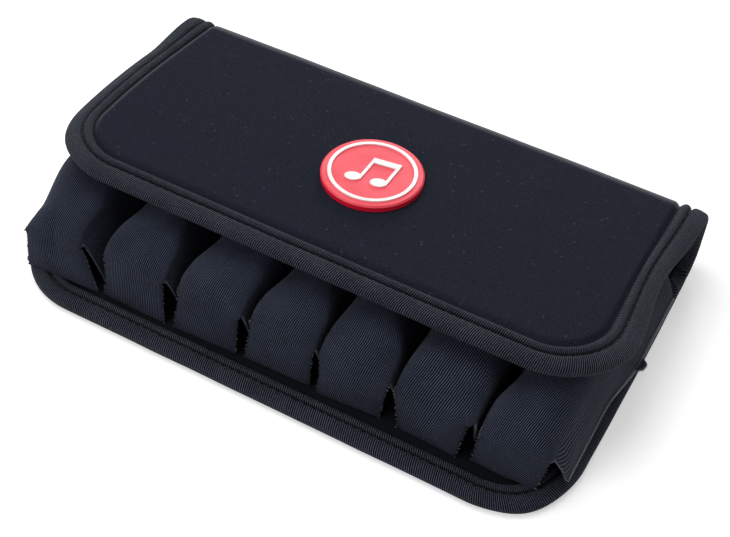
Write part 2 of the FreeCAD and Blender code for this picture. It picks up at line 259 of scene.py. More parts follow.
print("lid's front edge at", [round(v, 4) for v in fold(0, U_END, 0)])

# %% [markdown]
# Every mesh here is a grid of rows, or a few of them joined. This helper turns rows of points
# into quads, keeps a UV in metres for patterns that follow the cloth, and can keep a number per
# point, such as how near a raw edge is.

# %% Mesh helpers
def build_mesh(name, points, faces, uvs, marks=None):
    """Mesh object with a UV in metres and an optional number per point."""
    mesh = bpy.data.meshes.new(name)
    mesh.from_pydata([tuple(p) for p in points], [], faces)
    layer = mesh.uv_layers.new(name="cloth")
    for loop in mesh.loops:
        layer.data[loop.index].uv = uvs[loop.vertex_index]
    if marks:
        attribute = mesh.attributes.new("mark", "FLOAT", "POINT")
        attribute.data.foreach_set("value", marks)
    for polygon in mesh.polygons:
        polygon.use_smooth = True
    mesh.update()
    return add_object(name, mesh)


def strip_faces(rows, columns, around=False, first=0):
    """Quads of a grid of rows by columns; around joins the last column to the first."""
    faces = []
    span = columns if around else columns - 1
    for r in range(rows - 1):
        for c in range(span):
            a = first + r * columns + c
            b = first + r * columns + (c + 1) % columns
            faces.append((a, b, b + columns, a + columns))
    return faces


def outward(piece):
    """Turns the faces of a closed mesh so that they look away from its inside."""
    bm = bmesh.new()
    bm.from_mesh(piece.data)
    bmesh.ops.recalc_face_normals(bm, faces=bm.faces)
    bm.to_mesh(piece.data)
    bm.free()
    return piece


def steps_between(start, end, step):
    """Evenly spaced values from start to end, about a step apart, both ends included."""
    count = max(1, round(abs(end - start) / step))
    return [start + (end - start) * i / count for i in range(count + 1)]


# %% [markdown]
# The cut of the shell is a rectangle with rounded corners at both ends. It is made in two halves
# that meet in the middle of the back wall, because the lower half bends at one joint and the
# upper half at the other. The tape follows each half's edge, so a path along the edge is needed,
# with the direction that points into the cloth.

# %% Edge path
BASE_CORNER = 31.0 * MM
LID_CORNER = 30.0 * MM
PATH_STEP = 1.6 * MM
CORNER_STEPS = 26
HALVES = {"lower": (0.0, BASE_CORNER), "upper": (U_END, LID_CORNER)}


def edge_path(u_front, corner):
    """Edge of half the shell from the split on the left, round the front, back on the right.
    Rows of (x, u, inward x, inward u, distance along the edge)."""
    towards = 1 if u_front > U_MIDDLE else -1
    u_corner = u_front - towards * corner
    x_corner = HALF_WIDTH - corner
    path = [(-HALF_WIDTH, u, 1, 0) for u in steps_between(U_MIDDLE, u_corner, PATH_STEP)]
    for i in range(1, CORNER_STEPS + 1):
        turn = math.pi / 2 * i / CORNER_STEPS
        path.append((
            -x_corner - corner * math.cos(turn), u_corner + towards * corner * math.sin(turn),
            math.cos(turn), -towards * math.sin(turn),
        ))
    for x in steps_between(-x_corner, 0, PATH_STEP)[1:]:
        path.append((x, u_front, 0, -towards))
    path += [(-x, u, -dx, du) for x, u, dx, du in path[-2::-1]]
    rows = []
    along = 0.0
    for i, (x, u, dx, du) in enumerate(path):
        if i:
            along += math.hypot(x - path[i - 1][0], u - path[i - 1][1])
        rows.append((x, u, dx, du, along))
    return rows


def edge_distance(x, u):
    """Distance of a pattern point from the cut edge."""
    front = u if u < U_MIDDLE else U_END - u
    corner = BASE_CORNER if u < U_MIDDLE else LID_CORNER
    side = HALF_WIDTH - abs(x)
    if side < corner and front < corner:
        return corner - math.hypot(corner - side, corner - front)
    return min(side, front)


for half_name, (u_front, corner) in HALVES.items():
    print(half_name, "edge", round(edge_path(u_front, corner)[-1][-1], 4), "long")

# %% [markdown]
# The tape wraps the edge like a bandage over foam: a fat round edge, a wide band, a sewn groove
# and a narrow bead that rolls down to the panel. Its section is drawn once, half outside and half
# mirrored inside, and is carried along the edge path. The sizes in pairs are for the base and for
# the lid, where the tape is a little wider, and blend into each other round the fold.

# %% Tape
CLOTH_STACK = 3.6 * MM
BAND = 6.3 * MM
GROOVES = (6.0 * MM, 6.9 * MM)
BEAD_ENDS = (9.7 * MM, 11.1 * MM)
GROOVE_DEPTH = 1.35 * MM
BAND_RISE = 0.3 * MM
BEAD_ROOT = 1.7 * MM
BEAD_RISE = 0.5 * MM
CREASE_SHADE_WIDTH = 0.72 * MM
BEAD_STEPS, BAND_STEPS, ROUND_STEPS = 12, 9, 6
EDGE_WAVE = 0.14 * MM
EDGE_WAVES_PER_METRE = 60


def between(pair, u):
    """A size that changes from the base's value to the lid's round the fold."""
    return pair[0] + (pair[1] - pair[0]) * smooth((u - U_BASE) / (U_LID - U_BASE))


def tape_depth(d, groove, bead_end):
    """Depth of the tape's outer face below the shell's outer face, at distance d from the edge."""
    r = SHELL / 2
    if d < r:
        return r - math.sqrt(max(0.0, r * r - (r - d) ** 2))
    if d < groove:
        t = (d - r) / (groove - r)
        return GROOVE_DEPTH * t ** 8 - BAND_RISE * math.sin(math.pi * t)
    t = (d - groove) / (bead_end - groove)
    root = GROOVE_DEPTH + (BEAD_ROOT - GROOVE_DEPTH) * t ** 3
    return root - (GROOVE_DEPTH + BEAD_RISE) * math.sin(math.pi * t ** 0.9) ** 0.6


def tape_section(u):
    """Closed section of (distance from the edge, depth), from the outer bead round to the inner."""
    r = SHELL / 2
    groove, bead_end = between(GROOVES, u), between(BEAD_ENDS, u)
    outer = [bead_end + (groove - bead_end) * i / BEAD_STEPS for i in range(BEAD_STEPS)]
    outer += [groove + (r - groove) * i / BAND_STEPS for i in range(BAND_STEPS)]
    outer += [r - r * math.sin(math.pi / 2 * i / ROUND_STEPS) for i in range(ROUND_STEPS + 1)]
    half = [(d, tape_depth(d, groove, bead_end)) for d in outer]
    return half + [(d, SHELL - w) for d, w in half[-2::-1]]


def crease(d, u):
    """How deep in one of the tape's two creases a point lies, 0 to 1: where the tape's shade is
    painted.
    """
    lines = (between(GROOVES, u), between(BEAD_ENDS, u))
    return max(math.exp(-((d - line) / CREASE_SHADE_WIDTH) ** 2) for line in lines)


def make_tape(name, u_front, corner):
    """Tape round half of the shell, closed at the split."""
    path = edge_path(u_front, corner)
    points, uvs, marks = [], [], []
    across = [0.0]
    section = tape_section(u_front)
    for a, b in zip(section, section[1:]):
        across.append(across[-1] + math.hypot(a[0] - b[0], a[1] - b[1]))
    for x, u, dx, du, along in path:
        place = Vector((along * EDGE_WAVES_PER_METRE, 2.0, u_front * 9))
        soft = noise.noise(place) * EDGE_WAVE
        for (d, w), v in zip(tape_section(u), across):
            inset = d - soft * smooth(1 - d / BAND)
            points.append(fold(x + dx * inset, min(max(u + du * inset, 0.0), U_END), w))
            uvs.append((along, v))
            # The mark says where painted shade goes in the tape's creases.
            marks.append(crease(d, u))
    columns = len(section)
    faces = strip_faces(len(path), columns, around=True)
    faces.append(tuple(range(columns)))
    faces.append(tuple(range(len(points) - columns, len(points))))
    return outward(build_mesh(name, points, faces, uvs, marks))


tapes = {}
for half_name, (u_front, corner) in HALVES.items():
    tapes[half_name] = make_tape("tape_" + half_name, u_front, corner)
    print(half_name, "tape faces", len(tapes[half_name].data.polygons))

# %% [markdown]
# The panel is smooth knit over foam. It is pressed down where the tape is sewn on and swells to
# full thickness a few millimetres further in, so its depth follows the distance from the edge.
# The lining under it is pressed in the same way from the other side. Rows are closer together in
# the rounded corners, where the sheet gets narrower.

# %% Shell panels and linings
PANEL_TUCK = 0.7 * MM
PANEL_SWELL = 2.4 * MM
PANEL_ROOT = 1.3 * MM
PANEL_STEP = 1.5 * MM
PANEL_COLUMNS = 150
ARC_ROWS = 16
FOAM = 3.0 * MM
LINING_GAP = 0.05 * MM
LINING_PRESS = 0.3 * MM


def panel_rows(u_front, corner):
    """Rows of pattern points inside the tape: each row is (u, half width of the sheet there)."""
    towards = 1 if u_front > U_MIDDLE else -1
    inset = between(BEAD_ENDS, u_front) - PANEL_TUCK
    r = corner - inset
    edge = u_front - towards * inset
    rows = []
    for i in range(ARC_ROWS + 1):
        turn = math.pi / 2 * i / ARC_ROWS
        rows.append((
            edge - towards * r * (1 - math.cos(turn)),
            HALF_WIDTH - inset - r + r * math.sin(turn),
        ))
    for u in steps_between(rows[-1][0], U_MIDDLE, PANEL_STEP)[1:]:
        rows.append((u, HALF_WIDTH - between(BEAD_ENDS, u) + PANEL_TUCK))
    return rows


def panel_columns():
    """Shares across the sheet, closer together near its sides."""
    shares = []
    for i in range(PANEL_COLUMNS + 1):
        t = 2 * i / PANEL_COLUMNS - 1
        shares.append(math.copysign(1 - (1 - abs(t)) ** 1.25, t))
    return shares


def pressed(x, u):
    """How far the sewn tape presses the sheet here: 1 beside the tape, 0 further in."""
    return 1 - smooth((edge_distance(x, u) - between(BEAD_ENDS, u)) / PANEL_SWELL)


def make_layer(name, u_front, corner, outer_depth, inner_depth):
    """Closed layer of the shell between two depths, each a function of the pattern point."""
    shares = panel_columns()
    rows = panel_rows(u_front, corner)
    points, uvs = [], []
    for depth in (outer_depth, inner_depth):
        for u, half in rows:
            for share in shares:
                points.append(fold(share * half, u, depth(share * half, u)))
                uvs.append((share * half, u))
    columns = len(shares)
    count = len(rows) * columns
    faces = strip_faces(len(rows), columns)
    faces += strip_faces(len(rows), columns, first=count)
    rim = list(range(columns))
    rim += [r * columns + columns - 1 for r in range(1, len(rows))]
    rim += list(range(count - 2, count - columns - 1, -1))
    rim += [r * columns for r in range(len(rows) - 2, 0, -1)]
    for a, b in zip(rim, rim[1:] + rim[:1]):
        faces.append((a, b, b + count, a + count))
    piece = outward(build_mesh(name, points, faces, uvs))
    # Where the two halves meet, a sharp edge keeps the end face from tinting the outer one.
    for edge in piece.data.edges:
        if min(v % count for v in edge.vertices) >= count - columns:
            edge.use_edge_sharp = True
    return piece


shell, lining = {}, {}
for half_name, (u_front, corner) in HALVES.items():
    shell[half_name] = make_layer(
        "shell_" + half_name, u_front, corner,
        lambda x, u: PANEL_ROOT * pressed(x, u) ** 1.5,
        lambda x, u: FOAM,
    )
    lining[half_name] = make_layer(
        "lining_" + half_name, u_front, corner,
        lambda x, u: FOAM + LINING_GAP,
        lambda x, u: CLOTH_STACK - LINING_PRESS * pressed(x, u),
    )
    print(half_name, "panel faces", len(shell[half_name].data.polygons))

# %% [markdown]
# Each pocket is one piece of ribbed elastic: a tunnel sewn to the base between its neighbours,
# whose roof runs on over the front and down as a tongue. Beside the tongue the cloth is cut, so
# its sides and the tunnel's front edges are raw. Pockets like these could be draped by a cloth
# simulation, but each one has slumped in its own way in the photograph, so their places are given
# in three small tables instead, and the cloth is drawn between them.

# %% Pocket places
POCKET_COUNT = 7
ROW_MARGIN = 8.6 * MM
ROW_SHIFT = 1.6 * MM
SEAM_HALF = 0.2 * MM
SIDE_LEAN = 0.9 * MM
POCKET_PITCH = 2 * (HALF_WIDTH - ROW_MARGIN) / POCKET_COUNT
FOOT_HALF = POCKET_PITCH / 2 - SEAM_HALF
SIDE_HALF = FOOT_HALF - SIDE_LEAN
POCKET_FRONT_Y = FRONT_Y + 11.9 * MM
POCKET_BACK_Y = BACK_Y - 26.1 * MM
POCKET_LEVEL = 25.0 * MM
FRONT_LEAN = 2.7 * MM
FRONT_ROUND = 9.0 * MM
LEVEL_Y = POCKET_FRONT_Y + FRONT_LEAN + FRONT_ROUND

# Each row is one pocket, in millimetres from the middle of its seams: its left and right
# shoulder in front, then 25 mm further back, under the lid.
SLUMPS = (
    (-17.9, 6.2, -20.4, 7.0),
    (-13.8, 12.6, -11.0, 9.0),
    (-11.6, 15.0, -8.4, 16.0),
    (-11.5, 14.5, -7.6, 10.0),
    (-13.6, 13.5, -12.6, 5.5),
    (-14.2, 15.5, -13.6, 15.0),
    (-12.0, 13.0, -8.3, 13.5),
)
# Each row is one tongue's foot: left and right x, then how far its left and right end lie
# behind the pockets' front line.
FEET = (
    (-16.4, 13.8, -3.2, -1.2),
    (-13.0, 13.0, -0.5, -0.8),
    (-12.4, 13.2, -0.6, 0.3),
    (-12.6, 12.9, 0.5, 1.1),
    (-12.6, 10.9, -0.2, 1.6),
    (-11.4, 10.8, 1.1, 0.3),
    (-13.6, 9.9, 1.7, 0.9),
)
# How far the cut beside each tongue steps in from the pocket's right wall.
NOTCHES = (0.5, 2.3, 3.0, 1.8, 1.3, 4.0, 1.0)
print("pocket pitch", round(POCKET_PITCH / MM, 2), "mm, seam to seam")

# %% [markdown]
# Two heights bound a pocket. Its feet lie on the lining, or on the tape near the case's edge. Its
# top is level in front, where it is free, and rises further back to run parallel to the lid. Its
# roof is an arch of two radii: a wide crown and a tight shoulder, which is larger on the free
# outer sides of the first and last pocket.

# %% Feet, crest and arch
REST_GAP = 0.35 * MM
TAPE_STEP = 1.5 * MM
LID_CLEARANCE = 2.0 * MM
HOOK_BACK_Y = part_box("hook_strip_left")[1].y
CROWN = 34.0 * MM
CROWN_STEPS, SHOULDER_STEPS = 8, 11
SHOULDER = 6.5 * MM
END_SHOULDER = 13.0 * MM
END_TURN = math.radians(66)


def base_top(x, y):
    """Height at which cloth lies on the base: on the lining, or on the tape near the edge."""
    t = (edge_distance(x, y - FRONT_Y) - BEAD_ENDS[0]) / TAPE_STEP
    return SHELL + REST_GAP + (CLOTH_STACK - SHELL) * smooth(t)


def lid_underside(y):
    """Height of the lid's lining at y."""
    run = (LID_START.y - y) / math.cos(LID_TILT)
    return LID_START.z + run * math.sin(LID_TILT) - CLOTH_STACK / math.cos(LID_TILT)


def crest(y):
    """Height of a pocket's top: level in front, rising to run parallel to the lid."""
    y = max(y, LEVEL_Y)
    share = max(0.0, (HOOK_BACK_Y - y) / (HOOK_BACK_Y - LEVEL_Y))
    front_drop = lid_underside(LEVEL_Y) - CLOTH_STACK - POCKET_LEVEL
    return lid_underside(y) - LID_CLEARANCE - (front_drop - LID_CLEARANCE) * share ** 2


def arch(side, shoulder, end_turn):
    """Half of a roof from the crown outwards: (x, drop below the crest, length along it)."""
    x_shoulder = SIDE_HALF - shoulder * math.sin(end_turn)
    z_shoulder = math.sqrt((CROWN - shoulder) ** 2 - x_shoulder ** 2)
    turn_start = math.atan2(x_shoulder, z_shoulder)
    half = []
    for i in range(CROWN_STEPS + 1):
        turn = turn_start * i / CROWN_STEPS
        half.append((side * CROWN * math.sin(turn), CROWN * (1 - math.cos(turn)), CROWN * turn))
    start = half[-1][2]
    for i in range(1, SHOULDER_STEPS + 1):
        turn = turn_start + (end_turn - turn_start) * i / SHOULDER_STEPS
        half.append((
            side * (x_shoulder + shoulder * math.sin(turn)),
            CROWN - z_shoulder - shoulder * math.cos(turn),
            start + shoulder * (turn - turn_start),
        ))
    return half


print("pocket crest", round(crest(LEVEL_Y), 4), "in front,", round(crest(POCKET_BACK_Y), 4), "behind")

# %% [markdown]
# The class below answers one question in four places: where does the cloth go on the roof, on the
# turn over the front, on the tongue, and on the walls? A column is a line of cloth that runs along
# the roof and down the tongue. Its share from -1 to 1 says how far across the pocket it lies.

# %% Pocket cloth
SLUMP_FRONT_Y = LEVEL_Y - 4 * MM
SLUMP_BACK_Y = LEVEL_Y + 21 * MM
SLUMP_END_Y = LEVEL_Y + 56 * MM
FLAT_FRONT = 0.35
FLAT_RUN = 16.0 * MM
FIRST_LIFT = 0.32
FIRST_LIFT_RUN = 22.0 * MM
FIRST_TWIST = 4.0 * MM
FIRST_RAGGED = 2
WRINKLE = 0.45 * MM
WRINKLES_PER_METRE = (55, 40, 55)
TAUT_ROOF = 0.88
TAUT_WALL = 0.46
TAUT_FROM = 8.0 * MM
HEM_WIDTH = 4.2 * MM
HEM_RISE = 0.35 * MM
HEM_STEP = 0.8 * MM
ROUND_LEAST = 1.6 * MM
ROUND_PULL = 0.3
SLIT_ROW = 7
NOTCH_ROWS = 5
TURN_ROWS = 10
TONGUE_ROWS = 16
ROOF_ROWS = 46
WALL_COLUMNS = 14
TONGUE_CURL = 0.5 * MM
TONGUE_BELLY = 0.9 * MM
SCALLOP = 0.35 * MM
WALL_SETBACK = 0.35
WALL_BELLY = 0.35 * MM
END_BELLY = 1.0 * MM
END_FLARE = {-1: 2.8 * MM, 1: 3.1 * MM}
END_WIDENING = 3.3 * MM
END_WIDENING_RUN = (-16.0 * MM, 10.0 * MM)
HEM_LIP = 0.7 * MM


class Pocket:
    """Where the cloth of one pocket goes. side is -1 for its left half, 1 for its right."""

    def __init__(self, index):
        self.index = index
        self.first = index == 0
        self.x = ROW_SHIFT + (index - (POCKET_COUNT - 1) / 2) * POCKET_PITCH
        self.ends = {-1: self.first, 1: index == POCKET_COUNT - 1}
        self.slump = [value * MM for value in SLUMPS[index]]
        self.feet = [value * MM for value in FEET[index]]
        self.notch = NOTCHES[index] * MM
        halves = {}
        for side, at_end in self.ends.items():
            size = (END_SHOULDER, END_TURN) if at_end else (SHOULDER, math.pi / 2)
            halves[side] = arch(side, *size)
        self.roof = halves[-1][:0:-1] + halves[1]
        self.columns = len(self.roof)

    def wrinkle(self, x, y, z):
        """Small waves of the slack elastic."""
        across, along, up = WRINKLES_PER_METRE
        place = Vector((x * across + self.index * 7.7, y * along, z * up))
        return noise.noise(place) * WRINKLE

    def cloth_length(self, column):
        """Distance along the cloth from the pocket's crown, negative on its left. The row's own
        ends are pulled taut, so their ribs lie further apart."""
        x, _, run = self.roof[column]
        if self.ends[1 if x > 0 else -1] and run > TAUT_FROM:
            run = TAUT_FROM + (run - TAUT_FROM) * TAUT_ROOF
        return math.copysign(run, x)

    def share(self, column):
        """How far across the pocket a column lies, from -1 to 1."""
        return self.roof[column][0] / SIDE_HALF

    def slumped_x(self, share, y):
        """The x where a share of the slumped cloth lies at y."""
        near = smooth((y - SLUMP_FRONT_Y) / (SLUMP_BACK_Y - SLUMP_FRONT_Y))
        far = smooth((y - SLUMP_BACK_Y) / (SLUMP_END_Y - SLUMP_BACK_Y))
        left = self.slump[0] + (self.slump[2] - self.slump[0]) * near
        right = self.slump[1] + (self.slump[3] - self.slump[1]) * near
        left += (-SIDE_HALF - left) * far
        right += (SIDE_HALF - right) * far
        return self.x + left + (right - left) * (share + 1) / 2

    def drop(self, column, y):
        """How far the roof has come down: pulled flat in front, except on the row's own ends."""
        x, drop, _ = self.roof[column]
        if self.ends[1 if x > 0 else -1]:
            lift = FIRST_LIFT if self.first else 0.0
            return drop * (1 - lift * smooth((y - LEVEL_Y) / FIRST_LIFT_RUN))
        return drop * (FLAT_FRONT + (1 - FLAT_FRONT) * smooth((y - LEVEL_Y) / FLAT_RUN))

    def roof_point(self, column, y):
        """Point of the roof, which swells outwards at the hem and with the wrinkles."""
        share = self.share(column)
        x = self.slumped_x(share, y)
        z = crest(y) - self.drop(column, y)
        hem = HEM_RISE * smooth((y - POCKET_BACK_Y + HEM_WIDTH) / HEM_STEP)
        swell = hem + self.wrinkle(x, y, z)
        sideways = share ** 6
        return Vector((x + math.copysign(swell * sideways, share), y, z + swell * (1 - sideways)))

    def turn_point(self, column, row):
        """Point of the roof's turn over the front; row 0 is the roof, the last starts the tongue."""
        share = self.share(column)
        drop = self.drop(column, LEVEL_Y)
        turn = math.pi / 2 * row / TURN_ROWS
        z = crest(LEVEL_Y) - drop - max(ROUND_LEAST, FRONT_ROUND - drop) * (1 - math.cos(turn))
        y = LEVEL_Y - (FRONT_ROUND - ROUND_PULL * drop) * math.sin(turn)
        x = self.slumped_x(share, y)
        y -= self.wrinkle(x, y, z) * math.sin(turn)
        x -= self.notch * max(0.0, share) ** 3 * smooth((row - SLIT_ROW) / NOTCH_ROWS)
        if self.first:
            y -= FIRST_TWIST * max(0.0, -share) * math.sin(turn)
        return Vector((x, y, z + self.wrinkle(x, y, z) * math.cos(turn) * (1 - share ** 6)))

    def tongue_point(self, column, row):
        """Point of the tongue, which narrows and leans forward on its way down to the base."""
        start = self.turn_point(column, TURN_ROWS)
        share = self.share(column)
        t = row / TONGUE_ROWS
        left_x, right_x, left_y, right_y = self.feet
        foot_x = self.x + left_x + (right_x - left_x) * (share + 1) / 2
        foot_y = POCKET_FRONT_Y + left_y + (right_y - left_y) * (share + 1) / 2
        curl = TONGUE_CURL * share ** 4 * (1 - t)
        belly = TONGUE_BELLY * math.sin(math.pi * t) * (1 - share ** 2)
        y = start.y + (foot_y - start.y) * t ** 1.15 + curl - belly
        z = start.z + (base_top(foot_x, foot_y) - start.z) * t
        wave = self.wrinkle(start.x, y, z) * t * (1 - t)
        ragged = noise.noise(Vector((self.index * 3.1, share, t * 9))) * SCALLOP * share ** 8
        if self.first and share < 0:
            ragged *= FIRST_RAGGED
        return Vector((start.x + (foot_x - start.x) * t ** 0.9 + ragged, y - wave, z))

    def wall_point(self, side, top, step, past_front):
        """Point of a wall: down from the roof's edge to the foot, a little bellied. In front of
        the roof the wall's foot stays back, but for the wall between the first two pockets."""
        foot = Vector((self.x + side * FOOT_HALF, top.y, CLOTH_STACK))
        if self.ends[side]:
            foot.x += side * END_FLARE[side]
            if side > 0:
                start, end = END_WIDENING_RUN
                foot.x += END_WIDENING * smooth((top.y - start) / (end - start))
            foot.z = SHELL + REST_GAP
        if past_front:
            reach = 1.0 if self.first and side > 0 else WALL_SETBACK
            foot.y = LEVEL_Y + (top.y - LEVEL_Y) * reach
        t = step / WALL_COLUMNS
        point = top.lerp(foot, t)
        belly = END_BELLY if self.ends[side] else WALL_BELLY
        bulge = belly + self.wrinkle(point.x, point.y, point.z)
        point.x += side * bulge * math.sin(math.pi * t)
        if self.ends[side] and step == WALL_COLUMNS:
            point.x += side * HEM_LIP
        return point


# %% [markdown]
# Now the points become one sheet. The UV is in metres along and across the cloth. Its ribs don't
# run square to the front: the more a pocket lies to the right, the more they slant, so a slide
# that grows along the cloth is added to the UV. The number kept on each point marks the raw cut
# edges and, strongest, the hem at the foot of the outer walls, where it paints a highlight.

# %% Pocket meshes
RAW_PALE = 0.36
ROOF_SKEW = 0.12
TONGUE_SKEW = 0.22
ELASTIC = 1.1 * MM


def pocket_rows(pocket):
    """Rows of points from the pocket's back edge over the roof and down its tongue."""
    ys = steps_between(POCKET_BACK_Y, POCKET_BACK_Y - HEM_WIDTH - MM, HEM_STEP)
    start = ys[-1]
    ys += [start + (LEVEL_Y - start) * i / ROOF_ROWS for i in range(1, ROOF_ROWS + 1)]
    columns = range(pocket.columns)
    rows = [[pocket.roof_point(c, y) for c in columns] for y in ys]
    rows += [[pocket.turn_point(c, r) for c in columns] for r in range(1, TURN_ROWS + 1)]
    rows += [[pocket.tongue_point(c, r) for c in columns] for r in range(1, TONGUE_ROWS + 1)]
    return rows, len(ys) - 1


def make_pocket(index):
    """One pocket's cloth as a sheet: roof, tongue and walls."""
    pocket = Pocket(index)
    rows, front_row = pocket_rows(pocket)
    first_free = front_row + SLIT_ROW
    last = pocket.columns - 1
    runs = [0.0]
    for row, before in zip(rows[1:], rows):
        runs.append(runs[-1] + (row[pocket.columns // 2] - before[pocket.columns // 2]).length)
    points, uvs, marks, slides = [], [], [], []
    for i, row in enumerate(rows):
        past = runs[i] - runs[front_row]
        down = max(0.0, past)
        slide = ROOF_SKEW * past + TONGUE_SKEW * down ** 2 / (down + FRONT_ROUND)
        slides.append(slide * (index + 1) / POCKET_COUNT)
        for c, point in enumerate(row):
            points.append(point)
            uvs.append((pocket.cloth_length(c) + slides[i], runs[i]))
            marks.append(RAW_PALE if i >= first_free and c in (0, last) else 0.0)
    faces = strip_faces(len(rows), pocket.columns)
    breadth = 0.0
    for side, column in ((-1, 0), (1, last)):
        deepest = 0.0
        ease = TAUT_WALL if pocket.ends[side] else 1.0
        previous = [i * pocket.columns + column for i in range(first_free + 1)]
        for step in range(1, WALL_COLUMNS + 1):
            current = list(range(len(points), len(points) + first_free + 1))
            # The foot of an outer wall gets the full mark, which paints a highlight along the hem.
            foot_highlight = pocket.ends[side] and step == WALL_COLUMNS
            for i in range(first_free + 1):
                top = rows[i][column]
                point = pocket.wall_point(side, top, step, i > front_row)
                points.append(point)
                drop = (top - point).length
                deepest = max(deepest, drop)
                across = pocket.cloth_length(column) + slides[i] * (1 - step / WALL_COLUMNS)
                uvs.append((across + side * drop * ease, runs[i]))
                marks.append(1.0 if foot_highlight else RAW_PALE if i == first_free else 0.0)
            for i in range(first_free):
                quad = (previous[i], current[i], current[i + 1], previous[i + 1])
                faces.append(quad if side > 0 else quad[::-1])
            previous = current
        breadth += pocket.roof[column][2] + deepest
    piece = build_mesh("pocket_sleeve_" + str(index + 1), points, faces, uvs, marks)
    pocket.flat = (breadth, runs[-1])
    pocket.area = sum(polygon.area for polygon in piece.data.polygons)
    return pocket, piece


def baked(piece):
    """Applies the piece's modifiers."""
    evaluated = piece.evaluated_get(bpy.context.evaluated_depsgraph_get())
    mesh = bpy.data.meshes.new_from_object(evaluated)
    piece.modifiers.clear()
    old = piece.data
    piece.data = mesh
    bpy.data.meshes.remove(old)
    mesh.name = piece.name
    return piece


def thicken(piece, thickness):
    """Turns a sheet's faces up, gives it its thickness inwards and keeps it as a plain mesh."""
    if sum(polygon.normal.z * polygon.area for polygon in piece.data.polygons) < 0:
        piece.data.flip_normals()
    modifier = piece.modifiers.new("thickness", "SOLIDIFY")
    modifier.thickness = thickness
    modifier.offset = -1
    return baked(piece)


pockets = []
for index in range(POCKET_COUNT):
    pocket, sleeve = make_pocket(index)
    pockets.append((pocket, thicken(sleeve, ELASTIC)))
    print(sleeve.name, "cut", [round(v, 4) for v in pocket.flat])

# %% [markdown]
# Thread and hooks are the same small thing many times over, which is what Geometry Nodes are
# for. A node tree is easier to read as nested calls than as a list of links, so a small helper
# makes one node and fills its inputs in a single call. The materials use it too.

# %% Node helper
class Graph:
    """Short ways to add nodes to a tree."""

    def __init__(self, tree):
        self.tree = tree

    def feed(self, target, value):
        """Links a socket, or sets a plain value."""
        if isinstance(value, bpy.types.NodeSocket):
            self.tree.links.new(value, target)
        else:
            target.default_value = value

    def fill(self, node, inputs):
        for key, value in inputs.items():
            self.feed(node.inputs[key], value)

    def node(self, kind, inputs=None, **settings):
        """New node with its settings and its inputs, each a socket or a plain value."""
        made = self.tree.nodes.new(kind)
        for key, value in settings.items():
            setattr(made, key, value)
        self.fill(made, inputs or {})
        return made

    def math(self, operation, a, b=0.0):
        return self.node("ShaderNodeMath", {0: a, 1: b}, operation=operation).outputs[0]


# %% [markdown]
# The thread tree puts one short bent thread on each point that it is given. The points carry two
# arrows, one along the thread and one away from the cloth, and the inputs set length, thickness,
# arch, and how much the lengths and directions vary. It ends in Realize Instances and Set
# Material, and the result is kept as a plain mesh.

# %% Thread tree
def thread_tree():
    """Geometry Nodes tree: a bent thread on every point."""
    tree = bpy.data.node_groups.new("threads", "GeometryNodeTree")
    for title, kind in (
        ("Points", "Geometry"), ("Length", "Float"), ("Thickness", "Float"), ("Arch", "Float"),
        ("Vary", "Float"), ("Spread", "Float"), ("Seed", "Int"), ("Material", "Material"),
    ):
        tree.interface.new_socket(title, in_out="INPUT", socket_type="NodeSocket" + kind)
    tree.interface.new_socket("Threads", in_out="OUTPUT", socket_type="NodeSocketGeometry")
    g = Graph(tree)
    given = g.node("NodeGroupInput").outputs
    bow = g.node("ShaderNodeCombineXYZ", {
        "X": g.math("MULTIPLY", given["Length"], 0.5),
        "Z": g.math("MULTIPLY", given["Arch"], 2.0),
    })
    tip = g.node("ShaderNodeCombineXYZ", {"X": given["Length"]})
    curve = g.node("GeometryNodeCurveQuadraticBezier", {
        "Resolution": 4, "Start": (0, 0, 0), "Middle": bow.outputs[0], "End": tip.outputs[0],
    })
    ring = g.node("GeometryNodeCurvePrimitiveCircle", {
        "Resolution": 5, "Radius": g.math("MULTIPLY", given["Thickness"], 0.5),
    })
    tube = g.node("GeometryNodeCurveToMesh", {
        "Curve": curve.outputs["Curve"], "Profile Curve": ring.outputs["Curve"],
        "Fill Caps": True,
    })
    arrows = {}
    for title in ("heading", "facing"):
        arrows[title] = g.node(
            "GeometryNodeInputNamedAttribute", {"Name": title}, data_type="FLOAT_VECTOR"
        ).outputs["Attribute"]
    jitter = g.node(
        "FunctionNodeRandomValue", {0: (-1, -1, -1), 1: (1, 1, 1), "Seed": given["Seed"]},
        data_type="FLOAT_VECTOR",
    )
    spread = g.node(
        "ShaderNodeVectorMath", {0: jitter.outputs[0], "Scale": given["Spread"]},
        operation="SCALE",
    )
    turned = g.node(
        "ShaderNodeVectorMath", {0: arrows["heading"], 1: spread.outputs[0]}, operation="ADD"
    )
    axes = g.node(
        "FunctionNodeAxesToRotation", {0: turned.outputs[0], 1: arrows["facing"]},
        primary_axis="X", secondary_axis="Z",
    )
    size = g.node("FunctionNodeRandomValue", {
        2: g.math("SUBTRACT", 1.0, given["Vary"]), 3: g.math("ADD", 1.0, given["Vary"]),
        "Seed": given["Seed"],
    }, data_type="FLOAT")
    threads = g.node("GeometryNodeInstanceOnPoints", {
        "Points": given["Points"], "Instance": tube.outputs["Mesh"],
        "Rotation": axes.outputs["Rotation"], "Scale": size.outputs[1],
    })
    real = g.node("GeometryNodeRealizeInstances", {0: threads.outputs["Instances"]})
    painted = g.node("GeometryNodeSetMaterial", {
        "Geometry": real.outputs[0], "Material": given["Material"],
    })
    g.node("NodeGroupOutput", {0: painted.outputs["Geometry"]})
    return tree


THREADS = thread_tree()
print("thread tree", len(THREADS.nodes), "nodes")


